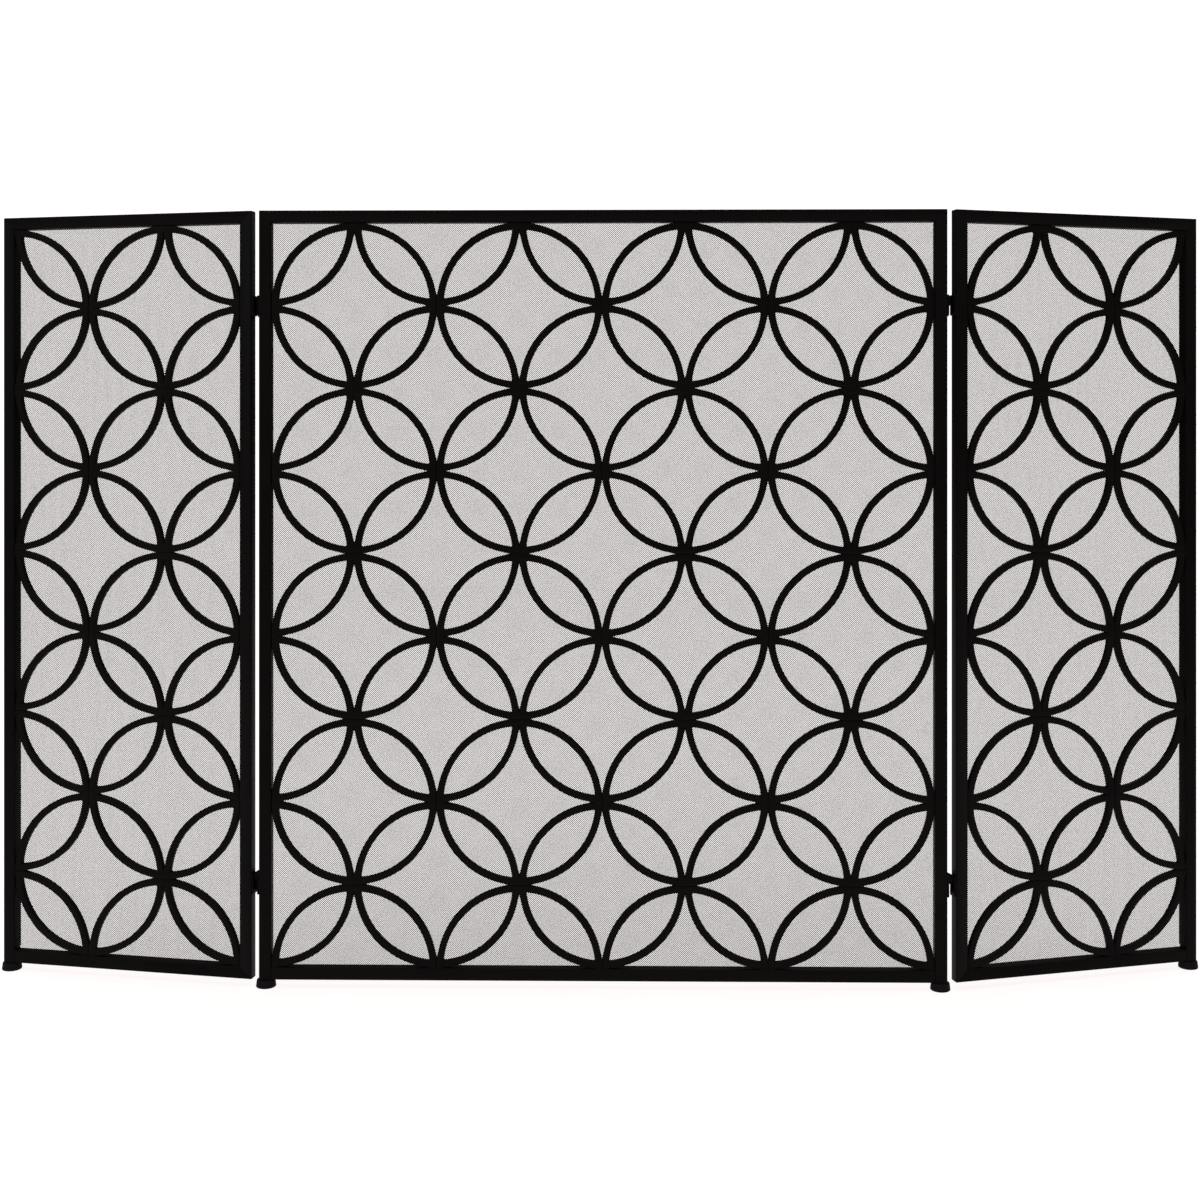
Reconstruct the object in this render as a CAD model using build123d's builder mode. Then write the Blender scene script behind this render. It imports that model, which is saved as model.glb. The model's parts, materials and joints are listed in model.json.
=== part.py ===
from build123d import *
import os
from math import atan2, cos, degrees, hypot, radians, sin

# Lattice: tangent rings of square bar, drawn in flats, with a star of petal arcs in each ring
ring_radius = 85.0  # outer radius of a ring, which is also half the pitch of the lattice
bar_width = 7.0  # of the lattice bars, seen from the front
bar_depth = 6.0
flats_per_quarter = 5  # flats in a quarter of a ring; one of them faces each weld
rows = 9  # height of the openings, in ring radii
center_columns = 8  # width of the center opening, in ring radii
wing_columns = 3  # width of a wing's opening, in ring radii

# Frame: square tube
tube = 12.7
tube_wall = 1.2
tube_edge = 1.0  # bevel along the tube's corners
lattice_recess = 1.5  # from the front of the frame back to the front of the lattice

# Mesh, drawn as a coarse net, and the flat strips that clamp it
mesh_thickness = 0.8
mesh_gap = 61.0  # width and height of the net's gaps, about; a whole number of them fills an opening
mesh_strand = 7.0  # between two gaps, as wide as gives the net the weight of the fine weave
mesh_lap = 9.0  # from the opening's edge out over the back of the frame
strip_width = 8.0
strip_thickness = 1.5
strip_gap = 3.0  # from the ends of the side strips to the strips across them

# Feet: round ferrules pushed onto the stiles
foot_height = 8.0
foot_base = 3.0  # under the end of the stile
foot_wall = 1.2  # outside the corners of the stile
foot_flare = 0.75  # the sides lean out by this, from the top down to the floor
foot_bevel = 1.0  # round the bottom edge
foot_sides = 24  # flats round a foot
rail_clearance = 0.5  # from the top of a foot up to the bottom rail

# Hinges
hinge_gap = 5.0  # between the stiles of two panels in line
leaf_clearance = 1.0  # between the two leaves of a hinge in line
hinge_height = 21.0
knuckle_clearance = 0.1  # from a knuckle to the planes of the stiles' sides
knuckle_gap = 0.3  # between the two knuckles of a hinge
pin_radius = 1.25
pin_clearance = 0.05  # radial, in the turning knuckle
fold_clearance = 2.7  # from the strips back to the hinge axis
hinge_rows = (1, 8)  # heights of the hinges, in ring radii below the top of the openings

# Pose: how far each wing stands back from the line of the center panel, in degrees
left_angle = 10.4
right_angle = 15.3

# Sizes that follow from these
ring_sides = 4 * flats_per_quarter
opening_height = rows * ring_radius
center_opening = center_columns * ring_radius
wing_opening = wing_columns * ring_radius
center_width = center_opening + 2 * tube
wing_width = wing_opening + 2 * tube
rail_bottom = foot_height + rail_clearance
opening_bottom = rail_bottom + tube
opening_top = opening_bottom + opening_height
frame_top = opening_top + tube
lattice_back = tube - lattice_recess - bar_depth
foot_top_radius = hypot(tube / 2, tube / 2 - tube_edge) + foot_wall
foot_radius = foot_top_radius + foot_flare
hinge_back = mesh_thickness + strip_thickness + fold_clearance
leaf_thickness = (hinge_gap - leaf_clearance) / 2
leaf_depth = tube - 2 * tube_edge
leaf_middle = (hinge_gap - leaf_thickness) / 2
knuckle_radius = hinge_gap / 2 - knuckle_clearance
knuckle_height = (hinge_height - knuckle_gap) / 2

# The front and rear feet lie evenly about the origin, which is on the floor
wide_angle = radians(max(left_angle, right_angle))
foot_depth = hinge_back + tube / 2
foot_reach = hinge_gap / 2 + wing_width - tube / 2
rear_foot = foot_reach * sin(wide_angle) - foot_depth * cos(wide_angle)
axis_x = (center_width + hinge_gap) / 2
axis_y = (foot_depth - rear_foot) / 2

os.makedirs("parts", exist_ok=True)


def panel_back(x, side, angle):
    """Plane of a panel's back face, turned about the hinge axis at x.

    Its X runs to the right, its Y up and its Z towards the viewer.
    """
    turn = radians(angle)
    axis = Plane(
        origin=(x, axis_y, 0),
        x_dir=(cos(turn), side * sin(turn), 0),
        z_dir=(side * sin(turn), -cos(turn), 0),
    )
    return axis.offset(hinge_back)


def save(piece, label):
    """Names a finished piece and writes it."""
    piece.part.label = label
    export_step(piece.part, f"parts/{label}.step")


def miter(back, x, y, right, up):
    """Cutting plane through a frame's outer corner at x, y, with its waste on the side of these signs."""
    direction = back.x_dir * right + back.y_dir * up
    return Plane(origin=back.from_local_coords((x, y, 0)), z_dir=direction)


def make_tube(label, start, along, across, length, cuts):
    """Length of frame tube from a start point, with mitered ends where cuts are given."""
    with BuildPart() as piece:
        with BuildSketch(Plane(origin=start, x_dir=across, z_dir=along)) as section:
            Rectangle(tube, tube)
            chamfer(section.vertices(), tube_edge)
            Rectangle(tube - 2 * tube_wall, tube - 2 * tube_wall, mode=Mode.SUBTRACT)
        extrude(amount=length)
        for cut in cuts:
            split(bisect_by=cut, keep=Keep.BOTTOM)
    save(piece, label)


def make_frame(name, back, left, right, stiles):
    """Stiles and rails between the outer sides left and right.

    stiles gives each side's name and whether it has a foot. The top corners are mitered. A stile with a
    foot runs down past the bottom rail, which butts against it, and a corner without one is mitered too.
    """
    top_cuts = []
    bottom_cuts = []
    bottom_ends = {}
    for side, x in ((-1, left), (1, right)):
        stile_name, has_foot = stiles[side]
        cuts = [miter(back, x, frame_top, -side, 1)]
        top_cuts.append(miter(back, x, frame_top, side, -1))
        bottom_ends[side] = x
        low = rail_bottom
        if has_foot:
            low = foot_base
            bottom_ends[side] = x - side * tube
        else:
            cuts.append(miter(back, x, rail_bottom, -side, -1))
            bottom_cuts.append(miter(back, x, rail_bottom, side, 1))
        start = back.from_local_coords((x - side * tube / 2, low, tube / 2))
        make_tube(f"{name}_{stile_name}_stile", start, back.y_dir, back.x_dir, frame_top - low, cuts)
        if has_foot:
            make_foot(f"{name}_{stile_name}_foot", back, x - side * tube / 2)
    top_start = back.from_local_coords((left, opening_top + tube / 2, tube / 2))
    make_tube(f"{name}_top_rail", top_start, back.x_dir, back.y_dir, right - left, top_cuts)
    low_start = back.from_local_coords((bottom_ends[-1], rail_bottom + tube / 2, tube / 2))
    low_length = bottom_ends[1] - bottom_ends[-1]
    make_tube(f"{name}_bottom_rail", low_start, back.x_dir, back.y_dir, low_length, bottom_cuts)


def make_foot(label, back, x):
    """Round ferrule under the stile whose middle is at x, drawn in flats, with a square socket for it."""
    floor = Plane(origin=back.from_local_coords((x, 0, tube / 2)), x_dir=back.x_dir, z_dir=back.y_dir)
    with BuildPart() as foot:
        with BuildSketch(floor):
            RegularPolygon(foot_radius, foot_sides, major_radius=False)
        extrude(amount=foot_height, taper=degrees(atan2(foot_flare, foot_height)))
        chamfer(foot.faces().sort_by(Axis.Z)[0].edges(), foot_bevel)
        with BuildSketch(floor.offset(foot_base)) as socket:
            Rectangle(tube, tube)
            chamfer(socket.vertices(), tube_edge)
        extrude(amount=foot_height - foot_base, mode=Mode.SUBTRACT)
    save(foot, label)


def lattice_spots(edge, side, columns, first):
    """Centers of every second ring in both directions, from column and row first of the opening.

    Columns count from its edge towards side, and rows from its top.
    """
    return [
        (edge + side * column * ring_radius, opening_top - row * ring_radius)
        for column in range(first, columns + 1, 2)
        for row in range(first, rows + 1, 2)
    ]


def ring_shape(radius, mode):
    """Ring outline of the given radius at its flats, with a flat facing each neighbor."""
    RegularPolygon(radius, ring_sides, major_radius=False, rotation=180 / ring_sides, mode=mode)


def make_lattice(name, back, edge, side, columns):
    """Rings at an opening's odd columns and rows, and in each a star made by arcs of the even rings."""
    odd_spots = lattice_spots(edge, side, columns, 1)
    even_spots = lattice_spots(edge, side, columns, 0)
    width = columns * ring_radius
    middle = (edge + side * width / 2, opening_bottom + opening_height / 2)
    with BuildPart() as rings:
        with BuildSketch(back.offset(lattice_back)):
            with Locations(*odd_spots):
                ring_shape(ring_radius, Mode.ADD)
            with Locations(*odd_spots):
                ring_shape(ring_radius - bar_width, Mode.SUBTRACT)
            with Locations(middle):
                Rectangle(width, opening_height, mode=Mode.INTERSECT)
        extrude(amount=bar_depth)
    save(rings, f"{name}_rings")
    with BuildPart() as stars:
        with BuildSketch(back.offset(lattice_back)):
            with Locations(*even_spots):
                ring_shape(ring_radius, Mode.ADD)
            with Locations(*even_spots):
                ring_shape(ring_radius - bar_width, Mode.SUBTRACT)
            with Locations(middle):
                Rectangle(width, opening_height, mode=Mode.INTERSECT)
        extrude(amount=bar_depth)
        add(rings.part, mode=Mode.SUBTRACT)
    save(stars, f"{name}_stars")


def make_mesh(name, back, middle, opening_width):
    """Net on a panel's back face, with its gaps inside the opening, and the four strips along its edges."""
    center = (middle, opening_bottom + opening_height / 2)
    width = opening_width + 2 * mesh_lap
    height = opening_height + 2 * mesh_lap
    gaps_across = round((opening_width + mesh_strand) / (mesh_gap + mesh_strand))
    gaps_up = round((opening_height + mesh_strand) / (mesh_gap + mesh_strand))
    step_across = (opening_width + mesh_strand) / gaps_across
    step_up = (opening_height + mesh_strand) / gaps_up
    with BuildPart() as mesh:
        with BuildSketch(back):
            with Locations(center):
                Rectangle(width, height)
                with GridLocations(step_across, step_up, gaps_across, gaps_up):
                    Rectangle(step_across - mesh_strand, step_up - mesh_strand, mode=Mode.SUBTRACT)
        extrude(amount=-mesh_thickness)
    save(mesh, f"{name}_mesh")
    across = (width - strip_width) / 2
    upward = (height - strip_width) / 2
    side_height = height - 2 * (strip_width + strip_gap)
    strips = {
        "left": (-across, 0, strip_width, side_height),
        "right": (across, 0, strip_width, side_height),
        "top": (0, upward, width, strip_width),
        "bottom": (0, -upward, width, strip_width),
    }
    for edge, (x, y, strip_length, strip_height) in strips.items():
        with BuildPart() as strip:
            with BuildSketch(back.offset(-mesh_thickness)):
                with Locations((center[0] + x, center[1] + y)):
                    Rectangle(strip_length, strip_height)
            extrude(amount=-strip_thickness)
        save(strip, f"{name}_{edge}_strip")


def make_leaf(label, axis, toward, low, knuckle_low, bore):
    """Hinge leaf on the side of a stile, which lies toward -X or +X of the axis, with its one knuckle."""
    with BuildPart() as leaf:
        with BuildSketch(axis.offset(low)):
            with Locations((toward * leaf_middle, -hinge_back - tube / 2)):
                Rectangle(leaf_thickness, leaf_depth)
        extrude(amount=hinge_height)
        web_depth = hinge_back + tube_edge
        with BuildSketch(axis.offset(knuckle_low)):
            Circle(knuckle_radius)
            with Locations((toward * leaf_middle, -web_depth / 2)):
                Rectangle(leaf_thickness, web_depth)
            Circle(bore, mode=Mode.SUBTRACT)
        extrude(amount=knuckle_height)
    save(leaf, label)


def make_hinge(word, height_word, side, wing, middle):
    """A hinge on the axis at a side: the center's leaf, the wing's with the upper knuckle, and the pin."""
    low = middle - hinge_height / 2
    wing_low = low + knuckle_height + knuckle_gap
    point = (side * axis_x, axis_y, 0)
    center_axis = Plane(origin=point, x_dir=(1, 0, 0), z_dir=(0, 0, 1))
    wing_axis = Plane(origin=point, x_dir=wing.x_dir, z_dir=(0, 0, 1))
    name = f"{word}_{height_word}_hinge"
    make_leaf(f"{name}_center_leaf", center_axis, -side, low, low, pin_radius)
    make_leaf(f"{name}_wing_leaf", wing_axis, side, low, wing_low, pin_radius + pin_clearance)
    with BuildPart() as pin:
        with BuildSketch(center_axis.offset(low)):
            Circle(pin_radius)
        extrude(amount=hinge_height)
    save(pin, f"{name}_pin")


# Center panel
center_back = panel_back(0, 1, 0)
center_stiles = {-1: ("left", True), 1: ("right", True)}
make_frame("center", center_back, -center_width / 2, center_width / 2, center_stiles)
make_lattice("center", center_back, -center_opening / 2, 1, center_columns)
make_mesh("center", center_back, 0, center_opening)

# Wings and their hinges
for word, side, angle in (("left", -1, left_angle), ("right", 1, right_angle)):
    wing_back = panel_back(side * axis_x, side, angle)
    inner = side * hinge_gap / 2
    outer = inner + side * wing_width
    stiles = {-side: ("inner", False), side: ("outer", True)}
    make_frame(f"{word}_wing", wing_back, min(inner, outer), max(inner, outer), stiles)
    make_lattice(f"{word}_wing", wing_back, inner + side * tube, side, wing_columns)
    make_mesh(f"{word}_wing", wing_back, (inner + outer) / 2, wing_opening)
    for height_word, row in zip(("upper", "lower"), hinge_rows):
        make_hinge(word, height_word, side, wing_back, opening_top - row * ring_radius)
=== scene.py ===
import json
from math import cos, pi, radians, sin

import bmesh
import bpy
import numpy as np
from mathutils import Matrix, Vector


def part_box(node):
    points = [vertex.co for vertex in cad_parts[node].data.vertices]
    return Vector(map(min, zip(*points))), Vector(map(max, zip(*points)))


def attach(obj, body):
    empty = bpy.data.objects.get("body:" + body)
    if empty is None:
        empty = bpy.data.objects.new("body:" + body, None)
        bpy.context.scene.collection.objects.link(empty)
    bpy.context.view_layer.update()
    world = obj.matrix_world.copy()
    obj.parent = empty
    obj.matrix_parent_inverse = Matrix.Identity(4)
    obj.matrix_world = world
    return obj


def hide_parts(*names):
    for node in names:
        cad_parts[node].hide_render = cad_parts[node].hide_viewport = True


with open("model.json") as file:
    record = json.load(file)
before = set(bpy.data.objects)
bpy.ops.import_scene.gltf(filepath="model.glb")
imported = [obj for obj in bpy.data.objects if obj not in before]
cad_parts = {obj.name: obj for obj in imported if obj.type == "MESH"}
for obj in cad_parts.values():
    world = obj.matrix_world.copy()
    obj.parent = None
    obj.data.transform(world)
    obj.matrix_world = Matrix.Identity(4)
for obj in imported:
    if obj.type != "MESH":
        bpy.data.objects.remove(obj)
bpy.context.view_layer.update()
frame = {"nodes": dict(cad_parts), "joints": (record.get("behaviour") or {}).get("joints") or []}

# Frame tubes: each panel is framed in square steel tube, mitered, welded and dressed flush, then powder
# coated black. A stile with a foot runs down past the bottom rail, which is welded against its side.
panel_bodies = {"center": "center_panel", "left_wing": "left_wing", "right_wing": "right_wing"}
hinge_joints = {joint["child"]: joint for joint in frame["joints"]}
back_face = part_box("center_left_stile")[1].y
tube_round = 0.0015
weld_groove = 0.0004
groove_shrink = 0.025
edge_angle = radians(35)
noise_middle = 0.5
coat_specular = 0.04
cloud_gloss = 0.16
peel_gloss = 0.1
peel_depth = 0.0002


def about_hinge(panel, x, y, way):
    """Points turned about a panel's hinge by its angle at rest: away from in line (1) or back (-1)."""
    joint = hinge_joints.get(panel_bodies[panel])
    if joint is None:
        return x, y
    angle = way * joint["axis"][2] * radians(-joint["range_deg"][0])
    pivot_x, pivot_y = joint["pos_m"][:2]
    across, rear = x - pivot_x, y - pivot_y
    return (
        pivot_x + across * cos(angle) - rear * sin(angle),
        pivot_y + across * sin(angle) + rear * cos(angle),
    )


def in_line_box(panel, node):
    """Low and high (across, depth, height) of a solid, its panel in line; depth is from the back face."""
    mesh = frame["nodes"][node].data
    points = np.empty(len(mesh.vertices) * 3, np.float32)
    mesh.vertices.foreach_get("co", points)
    x, y, z = points.reshape(-1, 3).T.astype(float)
    x, y = about_hinge(panel, x, y, -1)
    line = np.stack([x, back_face - y, z])
    return line.min(1), line.max(1)


def skin(points, ring=False):
    """Vertices and faces over points[item, station, around]: quads between stations, closed around.

    A ring joins its last station to its first, and any other item gets a flat face at each end.
    """
    index = np.arange(points[..., 0].size).reshape(points.shape[:3])
    beside = np.roll(index, -1, 2)
    if ring:
        ahead, ahead_beside = np.roll(index, -1, 1), np.roll(beside, -1, 1)
        return points.reshape(-1, 3), [np.stack([index, beside, ahead_beside, ahead], -1).reshape(-1, 4)]
    quads = np.stack([index[:, :-1], beside[:, :-1], beside[:, 1:], index[:, 1:]], -1)
    caps = np.concatenate([index[:, 0, ::-1], index[:, -1]])
    return points.reshape(-1, 3), [quads.reshape(-1, 4), caps]


def make_piece(name, panel, skins, finish, replaced, crease=edge_angle):
    """One object from skins given in line, turned to where its panel stands, that replaces its solids.

    Edges that turn by more than the crease stay sharp.
    """
    points = np.concatenate([vertices for vertices, _ in skins])
    starts = np.cumsum([0] + [len(vertices) for vertices, _ in skins])
    faces = [group + start for (_, groups), start in zip(skins, starts) for group in groups]
    corners = np.concatenate([group.ravel() for group in faces])
    sizes = np.concatenate([np.full(len(group), group.shape[1]) for group in faces])
    x, y = about_hinge(panel, points[:, 0], back_face - points[:, 1], 1)
    mesh = bpy.data.meshes.new(name)
    mesh.vertices.add(len(points))
    mesh.vertices.foreach_set("co", np.stack([x, y, points[:, 2]], 1).ravel().astype(np.float32))
    mesh.loops.add(len(corners))
    mesh.loops.foreach_set("vertex_index", corners.astype(np.int32))
    mesh.polygons.add(len(sizes))
    mesh.polygons.foreach_set("loop_start", np.concatenate([[0], np.cumsum(sizes)[:-1]]).astype(np.int32))
    mesh.update(calc_edges=True)
    shape = bmesh.new()
    shape.from_mesh(mesh)
    bmesh.ops.recalc_face_normals(shape, faces=shape.faces)
    shape.to_mesh(mesh)
    shape.free()
    mesh.shade_smooth()
    mesh.set_sharp_from_angle(angle=crease)
    mesh.materials.append(finish)
    made = bpy.data.objects.new(name, mesh)
    bpy.context.scene.collection.objects.link(made)
    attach(made, panel_bodies[panel])
    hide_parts(*replaced)


class Shade:
    """An output of a material's nodes: arithmetic on it adds Math nodes, and node() adds any other."""

    def __init__(self, tree, socket=None):
        self.tree = tree
        self.socket = socket

    def node(self, kind, settings, inputs, output=0):
        """A new node of a kind: its settings first, then the values or links of its inputs."""
        made = self.tree.nodes.new(kind)
        for name, value in settings.items():
            setattr(made, name, value)
        for name, value in inputs.items():
            if isinstance(value, Shade):
                self.tree.links.new(value.socket, made.inputs[name])
            else:
                made.inputs[name].default_value = value
        return Shade(self.tree, made.outputs[output])

    def feed(self, node, name):
        """Links this output to a named input."""
        self.tree.links.new(self.socket, node.inputs[name])

    def math(self, operation, first, second):
        """One Math node on two values or outputs."""
        return self.node("ShaderNodeMath", {"operation": operation}, {0: first, 1: second})

    def __add__(self, other):
        return self.math("ADD", self, other)

    __radd__ = __add__

    def __sub__(self, other):
        return self.math("SUBTRACT", self, other)

    def __rsub__(self, other):
        return self.math("SUBTRACT", other, self)

    def __mul__(self, other):
        return self.math("MULTIPLY", self, other)

    __rmul__ = __mul__


def powder_coat(name, dark, light, roughness, grain, relief):
    """Black powder coat: two blacks in slow clouds, uneven gloss, and an orange-peel skin of fine noise.

    grain is how many bumps of the skin go into a meter, and relief how strongly they show.
    """
    finish = bpy.data.materials.new(name)
    finish.use_nodes = True
    surface = finish.node_tree.nodes["Principled BSDF"]
    surface.inputs["Specular IOR Level"].default_value = coat_specular
    start = Shade(finish.node_tree)
    place = start.node("ShaderNodeTexCoord", {}, {}, "Object")
    clouds = start.node("ShaderNodeTexNoise", {}, {"Vector": place, "Scale": 18.0, "Detail": 3.0})
    peel = start.node("ShaderNodeTexNoise", {}, {"Vector": place, "Scale": grain, "Detail": 2.0})
    color = start.node("ShaderNodeMix", {"data_type": "RGBA"}, {0: clouds, 6: dark, 7: light}, 2)
    color.feed(surface, "Base Color")
    gloss = roughness + (clouds - noise_middle) * cloud_gloss + (peel - noise_middle) * peel_gloss
    gloss.feed(surface, "Roughness")
    bump = start.node("ShaderNodeBump", {}, {"Height": peel, "Strength": relief, "Distance": peel_depth})
    bump.feed(surface, "Normal")
    return finish


def rounded_outline(width, height, radius, steps):
    """Outline of a rectangle with round corners: a quarter circle of steps points at each corner."""
    angle = np.arange(4)[:, None] * pi / 2 + np.linspace(0, pi / 2, steps)
    corner_u = np.array([1, -1, -1, 1])[:, None] * (width / 2 - radius)
    corner_v = np.array([1, 1, -1, -1])[:, None] * (height / 2 - radius)
    return (corner_u + radius * np.cos(angle)).ravel(), (corner_v + radius * np.sin(angle)).ravel()


def tube_skin(low, high, along, outer, miters):
    """Square tube with round edges that fills its box: the outline carried from end to end.

    Its length is along axis 0 or 2, and its outer side faces up or down the other of these two. At a
    mitered end the length loses each point's distance from the outer side, and the outline draws in a
    little over the last stretch, which leaves the shallow groove of a dressed weld.
    """
    middle, size = (low + high) / 2, high - low
    aside = 2 - along
    u, v = rounded_outline(size[aside], size[1], tube_round, steps=6)
    from_outer = size[aside] / 2 - outer * u
    begin = low[along] + miters[0] * from_outer
    end = high[along] - miters[1] * from_outer
    draw_in = 1 - groove_shrink * np.array([miters[0], 0, 0, miters[1]])[:, None]
    points = np.empty((1, 4, len(u), 3))
    points[0, ..., along] = np.stack([begin, begin + weld_groove, end - weld_groove, end])
    points[0, ..., aside] = middle[aside] + u * draw_in
    points[0, ..., 1] = middle[1] + v * draw_in
    return skin(points)


frame_black = powder_coat(
    "frame_black",
    dark=(0.0014, 0.0011, 0.001, 1),
    light=(0.0035, 0.0029, 0.0026, 1),
    roughness=0.46,
    grain=900.0,
    relief=0.25,
)
wing_inner_side = {"left_wing": 1, "right_wing": -1}
for panel in panel_bodies:
    inner = wing_inner_side.get(panel, 0)
    for side, center_word in ((-1, "left"), (1, "right")):
        is_inner = side == inner
        word = center_word if inner == 0 else "inner" if is_inner else "outer"
        node = f"{panel}_{word}_stile"
        stile = tube_skin(*in_line_box(panel, node), 2, side, (is_inner, True))
        make_piece(f"{node}_tube", panel, [stile], frame_black, [node])
    for outer, word, miters in ((1, "top", (True, True)), (-1, "bottom", (inner == -1, inner == 1))):
        node = f"{panel}_{word}_rail"
        rail = tube_skin(*in_line_box(panel, node), 0, outer, miters)
        make_piece(f"{node}_tube", panel, [rail], frame_black, [node])

# Ring bars: square steel bar bent to rings that stand side by side in each opening, welded to each other
# and to the frame where they touch. The weld runs a little way into the crevice on both sides.
lattice_rows = 9
lattice_columns = {"center": 8, "left_wing": 3, "right_wing": 3}
bar_width = 0.007
bar_round = 0.0009
bar_steps = 4
quarter_stations = 28
crowding = 0.6
weld_full = 0.009
weld_end = 0.015
bead_height = 0.0004
bead_spread = 0.006
ripple_height = 0.00006
ripple_length = 0.0018


def weld_fill(radius, off_angle):
    """How far the weld reaches out from a ring to the line where it touches its neighbor.

    That is the gap between circle and tangent, whole near the touching point and smoothly none further out.
    """
    run = radius * np.tan(np.abs(off_angle))
    share = np.clip((weld_end - run) / (weld_end - weld_full), 0, 1)
    return (radius / np.cos(off_angle) - radius) * share**2 * (3 - 2 * share)


def weld_bead(run):
    """Height of the bead over a weld: a bell over the distance run from its middle, with small ripples."""
    bell = np.exp(-((run / bead_spread) ** 2))
    return bell * (bead_height + ripple_height * np.cos(2 * pi * run / ripple_length))


def crowd(share):
    """Shares of a quarter turn, moved towards both its ends, where the welds are, by part of a sine."""
    return share - crowding * np.sin(2 * pi * share) / (2 * pi)


def lattice_place(panel):
    """Inner edge of a panel's lattice, its way out from there, its top, and the radius of its rings."""
    low, high = in_line_box(panel, f"{panel}_rings")
    radius = (high[2] - low[2]) / lattice_rows
    if wing_inner_side.get(panel) == 1:
        return high[0], -1, high[2], radius
    return low[0], 1, high[2], radius


def bar_points(panel, out, height, radial_reach, bead, turn_out, turn_up):
    """Bar section carried round a circle: out and height are its center, radial_reach its radii.

    The section's depth is that of the lattice, with the bead added on the front. turn_out and turn_up are
    the cosine and sine of each station's angle.
    """
    edge, way, _, _ = lattice_place(panel)
    low, high = in_line_box(panel, f"{panel}_rings")
    _, v = rounded_outline(bar_width, high[1] - low[1], bar_round, bar_steps)
    front = np.clip(2 * v / (high[1] - low[1]), 0, 1)
    points = np.empty(radial_reach.shape + (3,))
    points[..., 0] = edge + way * (out + radial_reach * turn_out)
    points[..., 1] = (low[1] + high[1]) / 2 + v + front * bead
    points[..., 2] = height + radial_reach * turn_up
    return points


def ring_skin(panel, column, row):
    """One ring, or the half or quarter of it that lies in the opening, its outside drawn out at the welds.

    A ring at the outer edge starts a quarter turn later, and each side that cuts a ring halves it.
    """
    _, _, top, radius = lattice_place(panel)
    at_edge, at_foot = column == lattice_columns[panel], row == lattice_rows
    first = int(at_edge)
    quarters = 4 // (1 + at_edge) // (1 + at_foot)
    whole = quarters == 4
    turns = np.arange(quarters * quarter_stations + (not whole)) / quarter_stations
    angle = (first + np.floor(turns) + crowd(turns % 1)) * pi / 2
    off_angle = (angle + pi / 4) % (pi / 2) - pi / 4
    u, _ = rounded_outline(bar_width, bar_width, bar_round, bar_steps)
    outside = 0.5 + u / bar_width
    reach = radius - bar_width / 2 + u + outside * weld_fill(radius, off_angle)[:, None]
    bead = weld_bead(radius * np.sin(np.abs(off_angle)))[:, None]
    points = bar_points(
        panel,
        column * radius,
        top - row * radius,
        reach[None],
        bead,
        np.cos(angle)[:, None],
        np.sin(angle)[:, None],
    )
    return skin(points, ring=whole)


lattice_black = powder_coat(
    "lattice_black",
    dark=(0.0014, 0.0011, 0.001, 1),
    light=(0.0038, 0.0032, 0.0028, 1),
    roughness=0.5,
    grain=1100.0,
    relief=0.3,
)
for panel, columns in lattice_columns.items():
    rings = [
        ring_skin(panel, column, row)
        for column in range(1, columns + 1, 2)
        for row in range(1, lattice_rows + 1, 2)
    ]
    make_piece(f"{panel}_ring_bars", panel, rings, lattice_black, [f"{panel}_rings"])

# Petal arcs: quarter rings of the same bar that stand across each ring like a four-pointed star. Their
# ends are cut square and butt welded to the inside of the ring, with a small fillet in each petal's tip.
end_sink = 0.0008
petal_fillet = 0.0025


def petal_skins(panel):
    """Every petal arc of a panel at once: a quarter circle about each even corner of the lattice.

    It starts and ends where it meets the ring's bar. Its inside widens there by a round fillet, and its
    outside is drawn out to its neighbor by the weld, as a ring's is.
    """
    _, _, top, radius = lattice_place(panel)
    column, row = np.meshgrid(np.arange(lattice_columns[panel]), np.arange(lattice_rows), indexing="ij")
    column, row = column.ravel()[:, None, None], row.ravel()[:, None, None]
    cut = np.arcsin((bar_width - end_sink) / radius)
    angle = cut + (pi / 2 - 2 * cut) * crowd(np.linspace(0, 1, quarter_stations + 1))
    off_angle = np.minimum(angle, pi / 2 - angle)
    run = radius * np.sin(off_angle)
    near_ring = np.clip(petal_fillet - (run - bar_width), 0, petal_fillet)
    widening = petal_fillet - np.sqrt(petal_fillet**2 - near_ring**2)
    u, _ = rounded_outline(bar_width, bar_width, bar_round, bar_steps)
    outside = 0.5 + u / bar_width
    reach = radius - bar_width / 2 + u + outside * weld_fill(radius, off_angle)[:, None]
    reach = reach - (1 - outside) * widening[:, None]
    points = bar_points(
        panel,
        (column + column % 2) * radius,
        top - (row + row % 2) * radius,
        np.broadcast_to(reach, (len(column),) + reach.shape),
        weld_bead(run)[:, None],
        (1 - 2 * (column % 2)) * np.cos(angle)[:, None],
        (2 * (row % 2) - 1) * np.sin(angle)[:, None],
    )
    return [skin(points)]


for panel in panel_bodies:
    petals = petal_skins(panel)
    make_piece(f"{panel}_petal_bars", panel, petals, lattice_black, [f"{panel}_stars"])

# Spark mesh: fine black wire in two crossing layers on the slant, cut to reach over the back of the frame,
# where the strips clamp it. It is dense enough to stop sparks and open enough to see the fire through.
wire_pitch = 0.0015
wire_width = 0.00044
wire_sides = 4
wire_stations = 15
wire_crease = radians(100)


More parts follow.
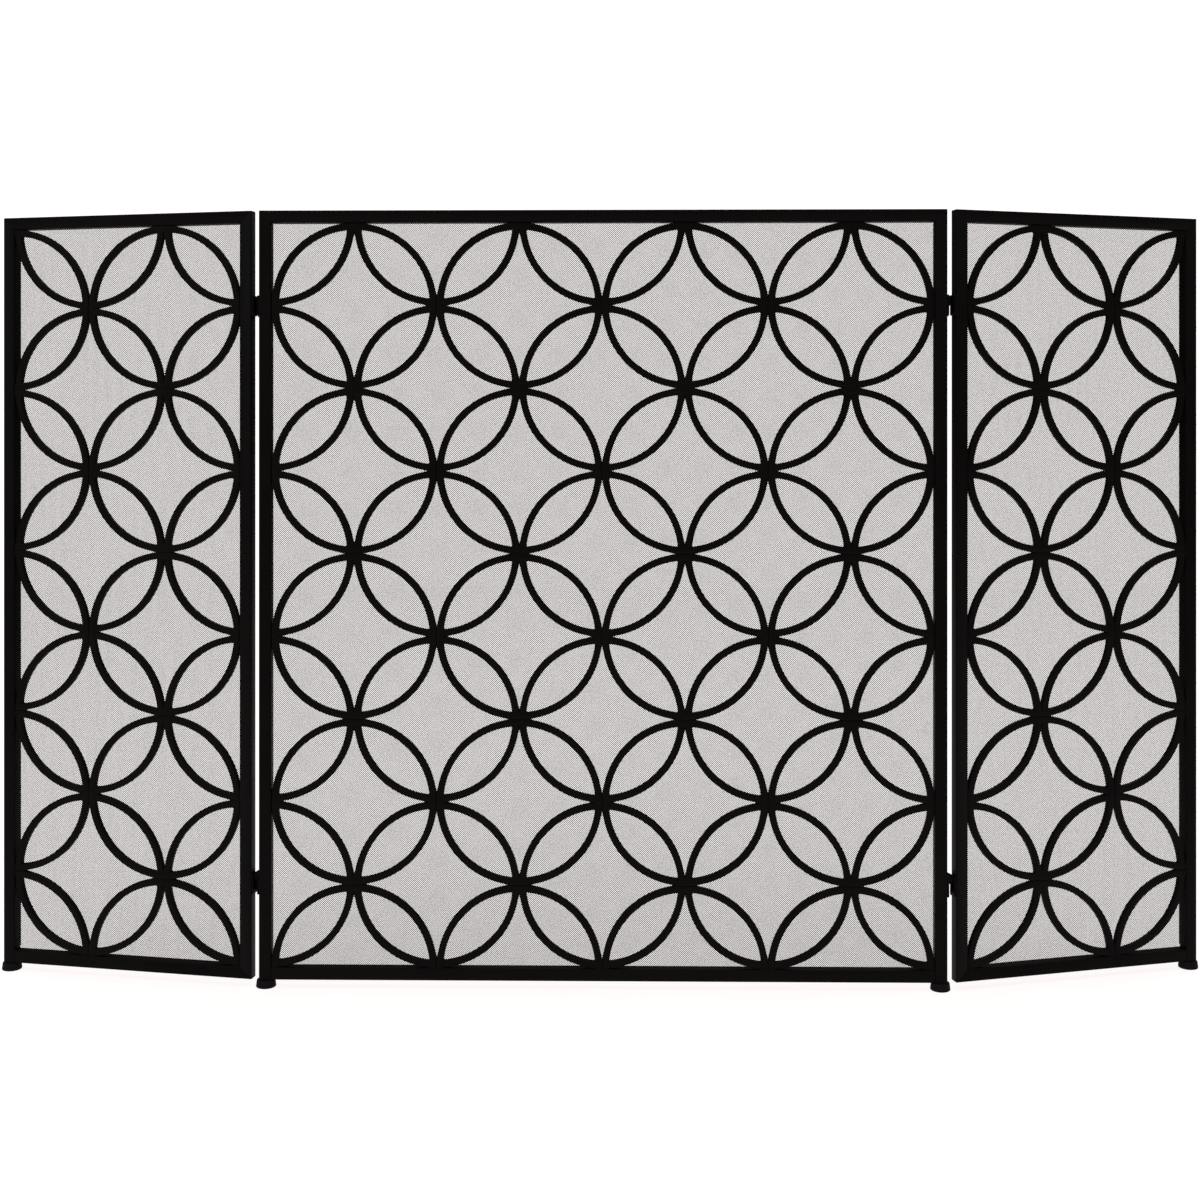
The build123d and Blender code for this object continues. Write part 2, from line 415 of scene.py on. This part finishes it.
def wire_skin(low, high, slope, depth):
    """All the wires of one layer: a thin rod for each step of the pitch, along slanting lines.

    On a line the height is an offset plus slope times the distance across, with a slope of 1 or -1. Each
    line runs to where it leaves the box of the sheet.
    """
    size, middle = high - low, (low + high) / 2
    step = wire_pitch * np.sqrt(2)
    count = int((size[0] + size[2]) / step)
    offset = middle[2] - slope * middle[0] + step * (np.arange(count)[:, None] - (count - 1) / 2)
    at_edges = np.sort(slope * (np.array([low[2], high[2]]) - offset), 1)
    start, end = np.maximum(at_edges[:, :1], low[0]), np.minimum(at_edges[:, 1:], high[0])
    across = start + (end - start) * np.linspace(0, 1, wire_stations)
    angle = np.arange(wire_sides) * 2 * pi / wire_sides
    aside = wire_width / 2 * np.cos(angle) / np.sqrt(2)
    points = np.empty((count, wire_stations, wire_sides, 3))
    points[..., 0] = across[..., None] - slope * aside
    points[..., 1] = depth + wire_width / 2 * np.sin(angle)
    points[..., 2] = (offset + slope * across)[..., None] + aside
    return skin(points)


wire_black = powder_coat(
    "wire_black",
    dark=(0.011, 0.0075, 0.0062, 1),
    light=(0.02, 0.014, 0.0118, 1),
    roughness=0.5,
    grain=2400.0,
    relief=0.15,
)
for panel in panel_bodies:
    low, high = in_line_box(panel, f"{panel}_mesh")
    layers = [
        wire_skin(low, high, 1, high[1] - wire_width / 2),
        wire_skin(low, high, -1, low[1] + wire_width / 2),
    ]
    make_piece(f"{panel}_wires", panel, layers, wire_black, [f"{panel}_mesh"], wire_crease)

# Clamping strips: flat steel strip along the four edges of the mesh on each panel's back, spot welded
# through the mesh to the tube. Each spot leaves a shallow round mark.
strip_round = 0.0004
strip_end = 0.0005
spot_pitch = 0.062
spot_radius = 0.0021
spot_rim = 0.00018
spot_lift = 0.00002
spot_shares = np.array([0.1, 0.3, 0.5, 0.65, 0.8, 0.9, 1.0, 1.0])
rim_share = 0.75
rim_spread = 0.16
spot_around = 24


def strip_skin(low, high, along):
    """Flat strip with round edges that fills its box, drawn in a little at both ends."""
    middle, size = (low + high) / 2, high - low
    aside = 2 - along
    u, v = rounded_outline(size[aside], size[1], strip_round, steps=4)
    draw_in = strip_end / size[aside] * np.array([1, 0, 0, 1])[:, None]
    points = np.empty((1, 4, len(u), 3))
    places = np.array([low[along], low[along] + strip_end, high[along] - strip_end, high[along]])
    points[0, ..., along] = places[:, None]
    points[0, ..., aside] = middle[aside] + u * (1 - draw_in)
    points[0, ..., 1] = middle[1] + v * (1 - draw_in)
    return skin(points)


def spot_skin(low, high, along):
    """Spot marks along a strip's back: discs with a round rim, a bell over the share of the radius."""
    aside = 2 - along
    count = max(2, round((high[along] - low[along]) / spot_pitch))
    step = (high[along] - low[along]) / count
    places = low[along] + step * (np.arange(count) + 0.5)
    share = spot_shares[:, None]
    rise = spot_rim * np.exp(-(((share - rim_share) / rim_spread) ** 2)) + spot_lift
    rise[-1] = -spot_rim
    angle = np.arange(spot_around) * 2 * pi / spot_around
    points = np.empty((count, len(share), spot_around, 3))
    points[..., along] = places[:, None, None] + spot_radius * share * np.cos(angle)
    points[..., aside] = (low[aside] + high[aside]) / 2 + spot_radius * share * np.sin(angle)
    points[..., 1] = low[1] - rise
    return skin(points)


for panel in panel_bodies:
    for word, along in (("left", 2), ("right", 2), ("top", 0), ("bottom", 0)):
        node = f"{panel}_{word}_strip"
        low, high = in_line_box(panel, node)
        strip = [strip_skin(low, high, along), spot_skin(low, high, along)]
        make_piece(f"{node}_bar", panel, strip, frame_black, [node])

# Feet: molded black rubber ferrules pushed onto the ends of four stiles. They flare towards the floor and
# have a rounded bottom edge and a soft lip round the top.
foot_flare = 0.00075
foot_lip = 0.0012
foot_toe = 0.0013
foot_steps = 8
foot_around = 64
rubber_specular = 0.06
bloom_gloss = 0.2
molded_depth = 0.0001


def lathe_skin(center_across, center_depth, radii, heights, around):
    """Outline of radii and heights turned about an upright axis."""
    angle = np.arange(around) * 2 * pi / around
    points = np.empty((1, len(radii), around, 3))
    points[0, ..., 0] = center_across + radii[:, None] * np.cos(angle)
    points[0, ..., 1] = center_depth + radii[:, None] * np.sin(angle)
    points[0, ..., 2] = heights[:, None]
    return skin(points)


def foot_skin(low, high):
    """Ferrule turned about its middle: a flat top, a round lip, a leaning side and a round toe."""
    middle = (low + high) / 2
    widest = (high[0] - low[0]) / 2
    turn = np.linspace(0, pi / 2, foot_steps)
    lip_radius = widest - foot_flare - foot_lip
    radii = [[lip_radius / 2], lip_radius + foot_lip * np.sin(turn), widest - foot_toe * (1 - np.cos(turn))]
    heights = [[high[2]], high[2] - foot_lip * (1 - np.cos(turn)), low[2] + foot_toe * (1 - np.sin(turn))]
    return lathe_skin(middle[0], middle[1], np.concatenate(radii), np.concatenate(heights), foot_around)


def molded_rubber(name, dark, light, roughness):
    """Black rubber: matt, with a fine molded grain and a dusty bloom in slow patches."""
    finish = bpy.data.materials.new(name)
    finish.use_nodes = True
    surface = finish.node_tree.nodes["Principled BSDF"]
    surface.inputs["Specular IOR Level"].default_value = rubber_specular
    start = Shade(finish.node_tree)
    place = start.node("ShaderNodeTexCoord", {}, {}, "Object")
    bloom = start.node("ShaderNodeTexNoise", {}, {"Vector": place, "Scale": 120.0, "Detail": 4.0})
    grain = start.node("ShaderNodeTexNoise", {}, {"Vector": place, "Scale": 2600.0, "Detail": 1.0})
    color = start.node("ShaderNodeMix", {"data_type": "RGBA"}, {0: bloom, 6: dark, 7: light}, 2)
    color.feed(surface, "Base Color")
    (roughness + bloom * bloom_gloss).feed(surface, "Roughness")
    bump = start.node("ShaderNodeBump", {}, {"Height": grain, "Strength": 0.3, "Distance": molded_depth})
    bump.feed(surface, "Normal")
    return finish


foot_rubber = molded_rubber(
    "foot_rubber",
    dark=(0.0025, 0.0025, 0.0025, 1),
    light=(0.006, 0.006, 0.006, 1),
    roughness=0.62,
)
footed_stiles = (("center", "left"), ("center", "right"), ("left_wing", "outer"), ("right_wing", "outer"))
for panel, word in footed_stiles:
    node = f"{panel}_{word}_foot"
    ferrule = foot_skin(*in_line_box(panel, node))
    make_piece(f"{node}_ferrule", panel, [ferrule], foot_rubber, [node])

# Hinges: two butt hinges on each side. Each leaf is a steel plate welded to the side of a stile in the gap
# between two panels, with one knuckle behind the panels; a blackened steel pin holds the two together.
leaf_gap = 0.001
plate_depth = 0.0107
knuckle_gap = 0.0003
plate_round = 0.0006
half_round = 0.3
knuckle_round = 0.0005
knuckle_steps = 5
knuckle_around = 40
pin_radius = 0.00125
pin_dome = 0.0005
pin_tip = 0.1
pin_steps = 6
wear_gloss = 0.2
turning_depth = 0.0001


def plate_skin(low, high, edge):
    """Plate that fills its box, with its upright edges round and its top and bottom edges drawn in.

    half_round is the share of the edge by which a point halfway round it lies in from both faces.
    """
    middle, size = (low + high) / 2, high - low
    u, v = rounded_outline(size[0], size[1], edge, steps=5)
    draw_in = edge * np.array([1, half_round, 0, 0, half_round, 1])[:, None]
    rise = np.array([0, half_round * edge, edge])
    points = np.empty((1, 6, len(u), 3))
    points[0, ..., 0] = middle[0] + u * (1 - 2 * draw_in / size[0])
    points[0, ..., 1] = middle[1] + v * (1 - 2 * draw_in / size[1])
    points[0, ..., 2] = np.concatenate([low[2] + rise, high[2] - rise[::-1]])[:, None]
    return skin(points)


def knuckle_skin(axis_across, axis_depth, radius, bottom, top):
    """Barrel round the pin: a cylinder with rounded rims, turned about the hinge axis."""
    turn = np.linspace(0, pi / 2, knuckle_steps)
    rim = radius - knuckle_round * (1 - np.sin(turn))
    rise = knuckle_round * (1 - np.cos(turn))
    radii = np.concatenate([[pin_radius], rim, rim[::-1], [pin_radius]])
    heights = np.concatenate([[bottom], bottom + rise, top - rise[::-1], [top]])
    return lathe_skin(axis_across, axis_depth, radii, heights, knuckle_around)


def pin_skin(axis_across, axis_depth, bottom, top):
    """Pin with a low dome at each end: a quarter of an ellipse from near the axis to the pin's side."""
    turn = np.linspace(pin_tip, 1, pin_steps) * pi / 2
    radii = pin_radius * np.concatenate([np.sin(turn), np.sin(turn)[::-1]])
    dome = pin_dome * np.cos(turn)
    heights = np.concatenate([bottom - dome, top + dome[::-1]])
    return lathe_skin(axis_across, axis_depth, radii, heights, knuckle_around)


def blackened_steel(name, dark, light, roughness):
    """Blackened pin steel: a dark metal with fine turning marks round it and a worn sheen in patches."""
    finish = bpy.data.materials.new(name)
    finish.use_nodes = True
    surface = finish.node_tree.nodes["Principled BSDF"]
    surface.inputs["Metallic"].default_value = 1.0
    start = Shade(finish.node_tree)
    place = start.node("ShaderNodeTexCoord", {}, {}, "Object")
    wear = start.node("ShaderNodeTexNoise", {}, {"Vector": place, "Scale": 300.0, "Detail": 3.0})
    marks = start.node("ShaderNodeTexWave", {"bands_direction": "Z"}, {"Vector": place, "Scale": 1500.0})
    color = start.node("ShaderNodeMix", {"data_type": "RGBA"}, {0: wear, 6: dark, 7: light}, 2)
    color.feed(surface, "Base Color")
    (roughness + wear * wear_gloss).feed(surface, "Roughness")
    bump = start.node("ShaderNodeBump", {}, {"Height": marks, "Strength": 0.1, "Distance": turning_depth})
    bump.feed(surface, "Normal")
    return finish


pin_steel = blackened_steel(
    "pin_steel",
    dark=(0.03, 0.03, 0.032, 1),
    light=(0.12, 0.12, 0.125, 1),
    roughness=0.3,
)
for word, side in (("left", -1), ("right", 1)):
    wing = f"{word}_wing"
    axis_x, axis_y, _ = hinge_joints[wing]["pos_m"]
    axis_depth = back_face - axis_y
    for height_word in ("upper", "lower"):
        hinge = f"{word}_{height_word}_hinge"
        leaves = (("center_leaf", "center", -side, 0), ("wing_leaf", wing, side, 1))
        for leaf, panel, toward, knuckles_below in leaves:
            node = f"{hinge}_{leaf}"
            low, high = in_line_box(panel, node)
            radius = axis_depth - low[1]
            half_height = (high[2] - low[2] - knuckle_gap) / 2
            bottom = low[2] + knuckles_below * (half_height + knuckle_gap)
            stile_face = high[0] if toward > 0 else low[0]
            faces = sorted((axis_x + toward * leaf_gap / 2, stile_face))
            plate = plate_skin(
                np.array([faces[0], high[1] - plate_depth, low[2]]),
                np.array([faces[1], high[1], high[2]]),
                plate_round,
            )
            web = plate_skin(
                np.array([faces[0], axis_depth, bottom]),
                np.array([faces[1], high[1] - plate_round, bottom + half_height]),
                plate_round,
            )
            barrel = knuckle_skin(axis_x, axis_depth, radius, bottom, bottom + half_height)
            make_piece(f"{node}_steel", panel, [plate, web, barrel], frame_black, [node])
        low, high = in_line_box("center", f"{hinge}_pin")
        pin = pin_skin(axis_x, axis_depth, low[2], high[2])
        make_piece(f"{hinge}_pin_rod", "center", [pin], pin_steel, [f"{hinge}_pin"])

# Floor: a plain pale studio floor that glows, so that it stays as white as the surround and its far edge
# doesn't show as a step through the mesh. Only a faint soft shadow is left under the panels.
floor_size = 9.0
floor_gray = (0.25, 0.25, 0.25, 1)
floor_glow_color = (1.05, 1.0, 0.99, 1)
floor_glow = 0.81
floor_mesh = bpy.data.meshes.new("floor")
floor_corners = floor_size / 2 * np.array([[-1, -1, 0], [1, -1, 0], [1, 1, 0], [-1, 1, 0]])
floor_mesh.from_pydata(floor_corners.tolist(), [], [[0, 1, 2, 3]])
floor = bpy.data.objects.new("floor", floor_mesh)
bpy.context.scene.collection.objects.link(floor)
floor_finish = bpy.data.materials.new("floor_pale")
floor_finish.use_nodes = True
floor_surface = floor_finish.node_tree.nodes["Principled BSDF"]
floor_surface.inputs["Base Color"].default_value = floor_gray
floor_surface.inputs["Roughness"].default_value = 0.9
floor_surface.inputs["Specular IOR Level"].default_value = 0.0
floor_surface.inputs["Emission Color"].default_value = floor_glow_color
floor_surface.inputs["Emission Strength"].default_value = floor_glow
floor_mesh.materials.append(floor_finish)

# Light: a warm white surround, dimmer as a light than as a background, and dimmer still in gloss; a wide
# even light from above, which keeps the floor pale all the way to its edge; and two soft boxes.
surround_white = (1.04, 1.0, 0.99, 1)
surround_light = 0.3
added_as_background = 0.81
taken_from_gloss = 0.18
world = bpy.data.worlds.new("studio")
world.use_nodes = True
bpy.context.scene.world = world
surround = world.node_tree.nodes["Background"]
surround.inputs["Color"].default_value = surround_white
seen = Shade(world.node_tree).node("ShaderNodeLightPath", {}, {}, "Is Camera Ray")
mirrored = Shade(world.node_tree).node("ShaderNodeLightPath", {}, {}, "Is Glossy Ray")
(surround_light + seen * added_as_background - mirrored * taken_from_gloss).feed(surround, "Strength")


def add_light(name, kind, place, aim, power):
    """A light of a kind at a place, aimed at a point."""
    lamp = bpy.data.lights.new(name, kind)
    lamp.energy = power
    made = bpy.data.objects.new(name, lamp)
    made.location = place
    made.rotation_euler = (Vector(aim) - Vector(place)).to_track_quat("-Z", "Y").to_euler()
    bpy.context.scene.collection.objects.link(made)
    return lamp


overhead = add_light("overhead", "SUN", place=(0.0, -0.1, 3.0), aim=(0.0, 0.0, 0.0), power=2.6)
overhead.angle = radians(120)
left_box = add_light("left_box", "AREA", place=(-2.4, -2.0, 1.8), aim=(0.0, 0.0, 0.4), power=16.0)
left_box.size = 1.6
rear_box = add_light("rear_box", "AREA", place=(0.6, 2.6, 2.2), aim=(0.0, 0.0, 0.4), power=5.0)
rear_box.size = 1.8
bpy.context.scene.view_settings.view_transform = "Standard"

# Camera: almost straight in front of the center panel, at about 70 % of its height. It is level, and its
# view is shifted down, so that upright lines stay upright. The pixels are those of the whole square image.
image_side = 1200
focal_pixels = 1575.7
horizon_pixel = 444.0
camera_place = (0.0221, -1.6557, 0.5589)
camera_turn = radians(0.859)
camera = bpy.data.cameras.new("camera")
camera.sensor_width = 36.0
camera.lens = camera.sensor_width * focal_pixels / image_side
camera.shift_y = (horizon_pixel - image_side / 2) / image_side
camera_object = bpy.data.objects.new("camera", camera)
camera_object.location = camera_place
camera_object.rotation_euler = (pi / 2, 0.0, camera_turn)
bpy.context.scene.collection.objects.link(camera_object)
bpy.context.scene.camera = camera_object
